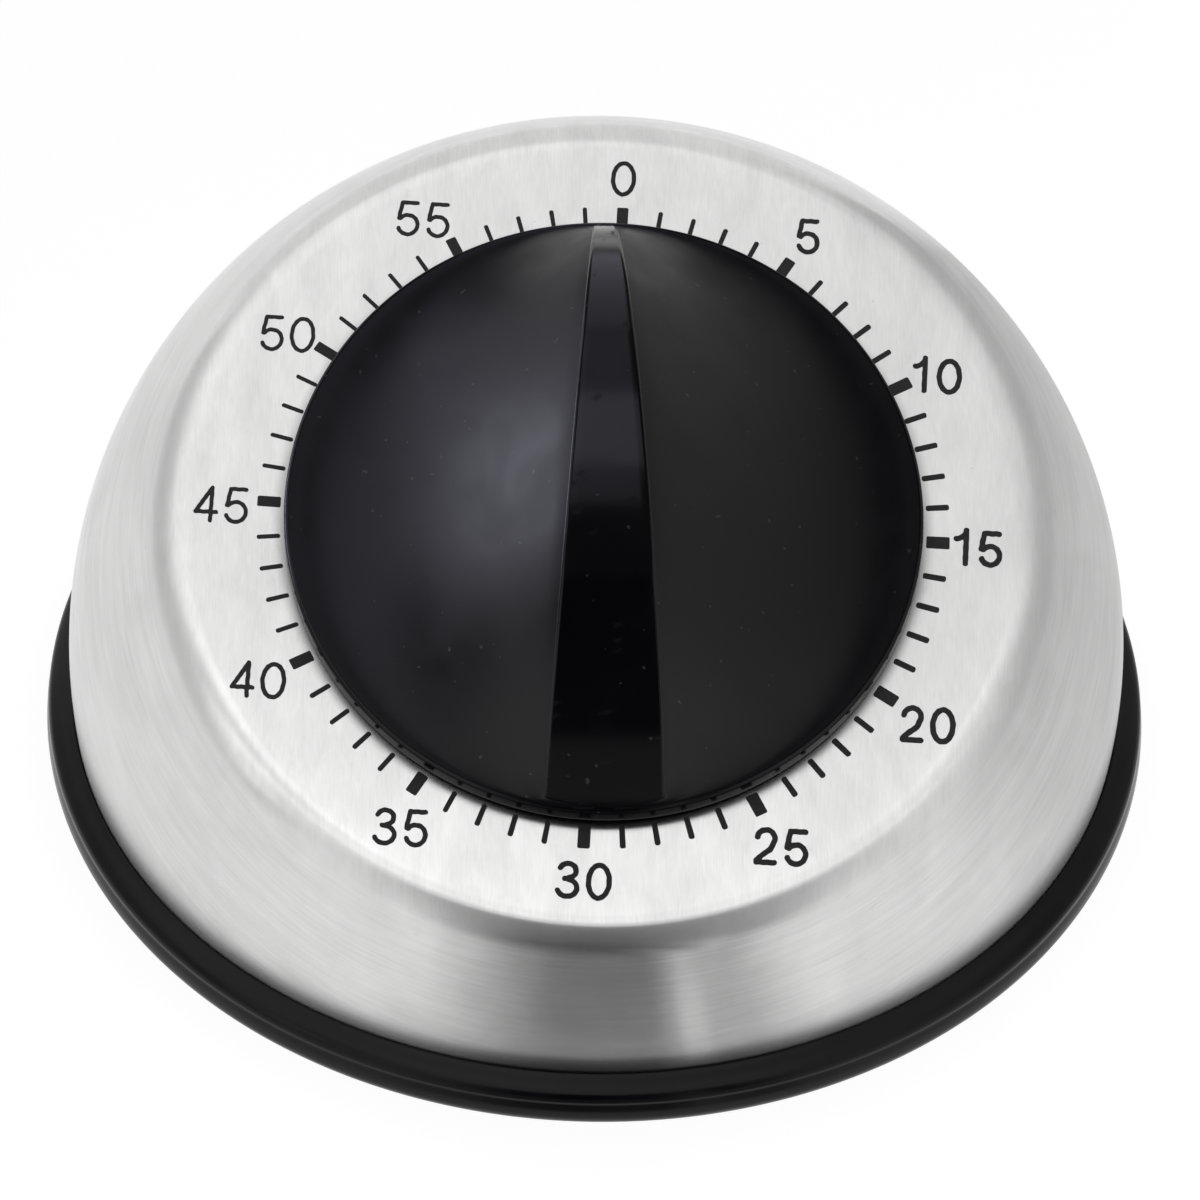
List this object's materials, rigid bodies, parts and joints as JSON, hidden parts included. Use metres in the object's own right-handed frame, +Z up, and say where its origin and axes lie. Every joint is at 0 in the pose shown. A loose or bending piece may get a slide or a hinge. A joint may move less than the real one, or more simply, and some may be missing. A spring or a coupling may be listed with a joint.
{
  "type": "kitchen timer",
  "caption": "Wind-up kitchen timer: steel dome with a tilted dial, turning black knob with a wedge grip, black base ring, and a spring-driven movement with gears, escapement and bell inside.",
  "frame": {"origin": "centre of the resting face, on the surface that the timer stands on", "axes": "+Z up, the dial leans towards -Y and faces somebody who stands at -Y, +X to that reader's right"},
  "size_m": [0.0902, 0.0902, 0.0517],
  "materials": {
    "brushed_shell": "fine circular brushing, satin",
    "print_ink": "printed ink",
    "knob_black": "satin gloss moulded plastic",
    "ring_black": "glossy moulded plastic",
    "cover_black": "fine moulded grain",
    "foot_rubber": "matt",
    "plated_steel": "zinc plated",
    "plate_steel": "stamped, zinc plated",
    "arbor_steel": "turned and polished",
    "train_brass": "stamped",
    "lever_brass": "stamped",
    "spring_steel": "blued",
    "bell_steel": "nickel plated"
  },
  "bodies": {
    "case": {"shell": "brushed_shell", "minute_marks": "print_ink", "numerals": "print_ink", "base_ring": "ring_black", "bottom_cover": "cover_black", "rubber_feet": "foot_rubber", "cover_screws": "plated_steel", "dial_washer": "plated_steel", "dial_nut": "plated_steel", "front_bushing": "lever_brass", "front_plate": "plate_steel", "back_plate": "plate_steel", "plate_pillars": "arbor_steel", "plate_screws": "plated_steel", "mainspring": "spring_steel", "spring_post": "arbor_steel", "bell": "bell_steel", "bell_post": "arbor_steel", "bell_nut": "plated_steel"},
    "knob_and_arbor": {"knob": "knob_black", "knob_clip": "spring_steel", "main_arbor": "arbor_steel", "alarm_cam": "train_brass", "clutch_spring": "spring_steel", "clutch_collar": "lever_brass"},
    "main_wheel": {"main_wheel": "train_brass"},
    "second_arbor": {"second_pinion": "arbor_steel", "second_wheel": "train_brass"},
    "third_arbor": {"third_pinion": "arbor_steel", "third_wheel": "train_brass"},
    "escape_arbor": {"escape_pinion": "arbor_steel", "escape_wheel": "train_brass"},
    "pallet": {"pallet_arbor": "arbor_steel", "pallet_lever": "lever_brass", "balance_bar": "train_brass"},
    "hammer": {"hammer_arbor": "arbor_steel", "hammer_arm": "plated_steel", "hammer_head": "lever_brass", "hammer_spring": "spring_steel"},
    "release": {"release_arbor": "arbor_steel", "release_lever": "lever_brass", "release_spring": "spring_steel"}
  },
  "joints": [
    {"name": "knob_turn", "type": "hinge", "parent": "case", "child": "knob_and_arbor", "pos_m": [0, -0.0101, 0.03299], "axis": [0, 0.3907, -0.9205], "range_deg": [0, 355]},
    {"name": "escape_turn", "type": "hinge", "parent": "case", "child": "escape_arbor", "pos_m": [-0.01654, -0.01687, 0.025], "axis": [0, -0.3907, 0.9205], "continuous": true},
    {"name": "third_turn", "type": "hinge", "parent": "case", "child": "third_arbor", "pos_m": [-0.01838, -0.00932, 0.02582], "axis": [0, -0.3907, 0.9205], "continuous": true},
    {"name": "second_turn", "type": "hinge", "parent": "case", "child": "second_arbor", "pos_m": [-0.01472, 0.00261, 0.0248], "axis": [0, -0.3907, 0.9205], "continuous": true},
    {"name": "main_wheel_turn", "type": "hinge", "parent": "case", "child": "main_wheel", "pos_m": [0, -0.00605, 0.02346], "axis": [0, -0.3907, 0.9205], "continuous": true},
    {"name": "pallet_rock", "type": "hinge", "parent": "case", "child": "pallet", "pos_m": [-0.01145, -0.02244, 0.02166], "axis": [0, -0.3907, 0.9205], "range_deg": [-3, 3]},
    {"name": "hammer_swing", "type": "hinge", "parent": "case", "child": "hammer", "pos_m": [0.0232, -0.00916, 0.01491], "axis": [0, 0.3907, -0.9205], "range_deg": [0, 12], "stiffness_Nm_per_rad": 0.002, "springref_deg": -5.73},
    {"name": "release_swing", "type": "hinge", "parent": "case", "child": "release", "pos_m": [0.0095, 0.00846, 0.03136], "axis": [0, -0.3907, 0.9205], "range_deg": [0, 4], "stiffness_Nm_per_rad": 0.002, "springref_deg": -5.73}
  ],
  "couplings": [
    {"joint": "third_turn", "follows": "escape_turn", "ratio": -0.19048},
    {"joint": "second_turn", "follows": "escape_turn", "ratio": 0.031746},
    {"joint": "main_wheel_turn", "follows": "escape_turn", "ratio": -0.0042328}
  ]
}
